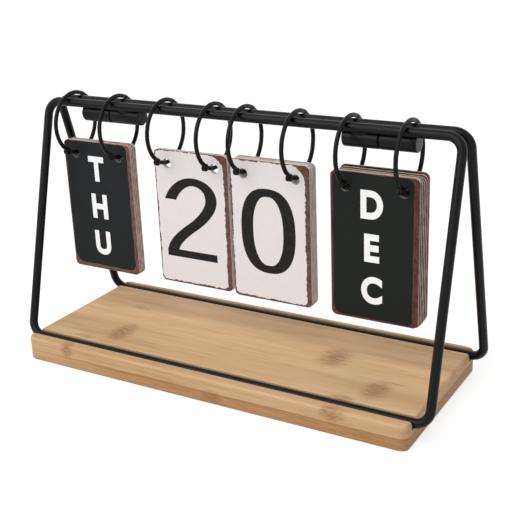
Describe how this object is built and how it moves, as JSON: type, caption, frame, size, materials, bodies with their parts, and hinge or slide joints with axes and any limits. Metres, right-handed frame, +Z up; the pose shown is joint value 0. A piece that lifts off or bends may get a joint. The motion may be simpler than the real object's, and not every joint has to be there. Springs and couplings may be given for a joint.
{
  "type": "perpetual desk calendar",
  "caption": "Perpetual desk calendar: two hinged black wire loops stand in a grooved wooden board, and cards for weekday, day and month hang from the top bars on hinged rings.",
  "frame": {"origin": "on the surface that it stands on, midway between the legs and midway between the board's long edges", "axes": "+X along the bars to the reader's right, +Y to the rear, +Z up"},
  "size_m": [0.26, 0.1, 0.1535],
  "materials": {
    "bamboo": "satin oiled bamboo with grain along the board",
    "black_wire": "satin black powder coat",
    "black_ring": "satin black",
    "dark_card": "matt black print with a worn brown border",
    "light_card": "matt off-white print with a worn brown border"
  },
  "bodies": {
    "stand": {"base_board": "bamboo"},
    "rear_frame": {"rear_loop": "black_wire", "rear_barrels": "black_wire", "barrel_pins": "black_wire"},
    "front_frame": {"front_loop": "black_wire", "front_barrels": "black_wire"},
    "weekday_rings": {"weekday_ring_backs": "black_ring", "weekday_ring_pins": "black_ring"},
    "weekday_ring_left": {"weekday_ring_front_left": "black_ring"},
    "weekday_ring_right": {"weekday_ring_front_right": "black_ring"},
    "weekday_card_2": {"weekday_card_2": "dark_card"},
    "weekday_card_1": {"weekday_card_1": "dark_card"},
    "weekday_card_3": {"weekday_card_3": "dark_card"},
    "weekday_card_4": {"weekday_card_4": "dark_card"},
    "tens_rings": {"tens_ring_backs": "black_ring", "tens_ring_pins": "black_ring"},
    "tens_ring_left": {"tens_ring_front_left": "black_ring"},
    "tens_ring_right": {"tens_ring_front_right": "black_ring"},
    "tens_card_2": {"tens_card_2": "light_card"},
    "tens_card_1": {"tens_card_1": "light_card"},
    "ones_rings": {"ones_ring_backs": "black_ring", "ones_ring_pins": "black_ring"},
    "ones_ring_left": {"ones_ring_front_left": "black_ring"},
    "ones_ring_right": {"ones_ring_front_right": "black_ring"},
    "ones_card_3": {"ones_card_3": "light_card"},
    "ones_card_2": {"ones_card_2": "light_card"},
    "ones_card_1": {"ones_card_1": "light_card"},
    "ones_card_4": {"ones_card_4": "light_card"},
    "ones_card_5": {"ones_card_5": "light_card"},
    "month_rings": {"month_ring_backs": "black_ring", "month_ring_pins": "black_ring"},
    "month_ring_left": {"month_ring_front_left": "black_ring"},
    "month_ring_right": {"month_ring_front_right": "black_ring"},
    "month_card_3": {"month_card_3": "dark_card"},
    "month_card_2": {"month_card_2": "dark_card"},
    "month_card_1": {"month_card_1": "dark_card"},
    "month_card_4": {"month_card_4": "dark_card"},
    "month_card_5": {"month_card_5": "dark_card"},
    "month_card_6": {"month_card_6": "dark_card"}
  },
  "joints": [
    {"name": "frame_lift", "type": "slide", "parent": "stand", "child": "rear_frame", "axis": [0, 0, 1], "range_m": [0, 0.3]},
    {"name": "frame_fold", "type": "hinge", "parent": "rear_frame", "child": "front_frame", "pos_m": [0, 0.002, 0.14147], "axis": [1, 0, 0], "range_deg": [0, 32]},
    {"name": "weekday_slide", "type": "slide", "parent": "rear_frame", "child": "weekday_rings", "axis": [1, 0, 0], "range_m": [-0.0015, 0.006]},
    {"name": "weekday_left_ring_open", "type": "hinge", "parent": "weekday_rings", "child": "weekday_ring_left", "pos_m": [-0.113, -0.00829, 0.11931], "axis": [1, 0, 0], "range_deg": [0, 80]},
    {"name": "weekday_right_ring_open", "type": "hinge", "parent": "weekday_rings", "child": "weekday_ring_right", "pos_m": [-0.081, -0.00829, 0.11931], "axis": [1, 0, 0], "range_deg": [0, 80]},
    {"name": "weekday_card_2_swing", "type": "hinge", "parent": "weekday_rings", "child": "weekday_card_2", "pos_m": [-0.097, 0.002, 0.13456], "axis": [1, 0, 0], "range_deg": [-10, 10]},
    {"name": "weekday_card_1_swing", "type": "hinge", "parent": "weekday_card_2", "child": "weekday_card_1", "pos_m": [-0.097, 0.002, 0.13456], "axis": [1, 0, 0], "range_deg": [-90, 0]},
    {"name": "weekday_card_3_swing", "type": "hinge", "parent": "weekday_card_2", "child": "weekday_card_3", "pos_m": [-0.097, 0.002, 0.13456], "axis": [1, 0, 0], "range_deg": [0, 45]},
    {"name": "weekday_card_4_swing", "type": "hinge", "parent": "weekday_card_3", "child": "weekday_card_4", "pos_m": [-0.097, 0.002, 0.13456], "axis": [1, 0, 0], "range_deg": [0, 45]},
    {"name": "tens_slide", "type": "slide", "parent": "rear_frame", "child": "tens_rings", "axis": [1, 0, 0], "range_m": [-0.008, 0.001]},
    {"name": "tens_left_ring_open", "type": "hinge", "parent": "tens_rings", "child": "tens_ring_left", "pos_m": [-0.04792, -0.00829, 0.11931], "axis": [1, 0, 0], "range_deg": [0, 80]},
    {"name": "tens_right_ring_open", "type": "hinge", "parent": "tens_rings", "child": "tens_ring_right", "pos_m": [-0.01592, -0.00829, 0.11931], "axis": [1, 0, 0], "range_deg": [0, 80]},
    {"name": "tens_card_2_swing", "type": "hinge", "parent": "tens_rings", "child": "tens_card_2", "pos_m": [-0.03192, 0.002, 0.13456], "axis": [1, 0, 0], "range_deg": [-10, 10]},
    {"name": "tens_card_1_swing", "type": "hinge", "parent": "tens_card_2", "child": "tens_card_1", "pos_m": [-0.03192, 0.002, 0.13456], "axis": [1, 0, 0], "range_deg": [-90, 0]},
    {"name": "ones_slide", "type": "slide", "parent": "rear_frame", "child": "ones_rings", "axis": [1, 0, 0], "range_m": [-0.001, 0.007]},
    {"name": "ones_left_ring_open", "type": "hinge", "parent": "ones_rings", "child": "ones_ring_left", "pos_m": [0.00408, -0.00829, 0.11931], "axis": [1, 0, 0], "range_deg": [0, 80]},
    {"name": "ones_right_ring_open", "type": "hinge", "parent": "ones_rings", "child": "ones_ring_right", "pos_m": [0.03608, -0.00829, 0.11931], "axis": [1, 0, 0], "range_deg": [0, 80]},
    {"name": "ones_card_3_swing", "type": "hinge", "parent": "ones_rings", "child": "ones_card_3", "pos_m": [0.02008, 0.002, 0.13456], "axis": [1, 0, 0], "range_deg": [-10, 10]},
    {"name": "ones_card_2_swing", "type": "hinge", "parent": "ones_card_3", "child": "ones_card_2", "pos_m": [0.02008, 0.002, 0.13456], "axis": [1, 0, 0], "range_deg": [-45, 0]},
    {"name": "ones_card_1_swing", "type": "hinge", "parent": "ones_card_2", "child": "ones_card_1", "pos_m": [0.02008, 0.002, 0.13456], "axis": [1, 0, 0], "range_deg": [-45, 0]},
    {"name": "ones_card_4_swing", "type": "hinge", "parent": "ones_card_3", "child": "ones_card_4", "pos_m": [0.02008, 0.002, 0.13456], "axis": [1, 0, 0], "range_deg": [0, 45]},
    {"name": "ones_card_5_swing", "type": "hinge", "parent": "ones_card_4", "child": "ones_card_5", "pos_m": [0.02008, 0.002, 0.13456], "axis": [1, 0, 0], "range_deg": [0, 45]},
    {"name": "month_slide", "type": "slide", "parent": "rear_frame", "child": "month_rings", "axis": [1, 0, 0], "range_m": [-0.004, 0.012]},
    {"name": "month_left_ring_open", "type": "hinge", "parent": "month_rings", "child": "month_ring_left", "pos_m": [0.0665, -0.00829, 0.11931], "axis": [1, 0, 0], "range_deg": [0, 80]},
    {"name": "month_right_ring_open", "type": "hinge", "parent": "month_rings", "child": "month_ring_right", "pos_m": [0.0985, -0.00829, 0.11931], "axis": [1, 0, 0], "range_deg": [0, 80]},
    {"name": "month_card_3_swing", "type": "hinge", "parent": "month_rings", "child": "month_card_3", "pos_m": [0.0825, 0.002, 0.13456], "axis": [1, 0, 0], "range_deg": [-10, 10]},
    {"name": "month_card_2_swing", "type": "hinge", "parent": "month_card_3", "child": "month_card_2", "pos_m": [0.0825, 0.002, 0.13456], "axis": [1, 0, 0], "range_deg": [-45, 0]},
    {"name": "month_card_1_swing", "type": "hinge", "parent": "month_card_2", "child": "month_card_1", "pos_m": [0.0825, 0.002, 0.13456], "axis": [1, 0, 0], "range_deg": [-45, 0]},
    {"name": "month_card_4_swing", "type": "hinge", "parent": "month_card_3", "child": "month_card_4", "pos_m": [0.0825, 0.002, 0.13456], "axis": [1, 0, 0], "range_deg": [0, 30]},
    {"name": "month_card_5_swing", "type": "hinge", "parent": "month_card_4", "child": "month_card_5", "pos_m": [0.0825, 0.002, 0.13456], "axis": [1, 0, 0], "range_deg": [0, 30]},
    {"name": "month_card_6_swing", "type": "hinge", "parent": "month_card_5", "child": "month_card_6", "pos_m": [0.0825, 0.002, 0.13456], "axis": [1, 0, 0], "range_deg": [0, 30]}
  ],
  "couplings": [
    {"joint": "frame_fold", "follows": "frame_lift", "rad_per_m": 1.8598}
  ]
}
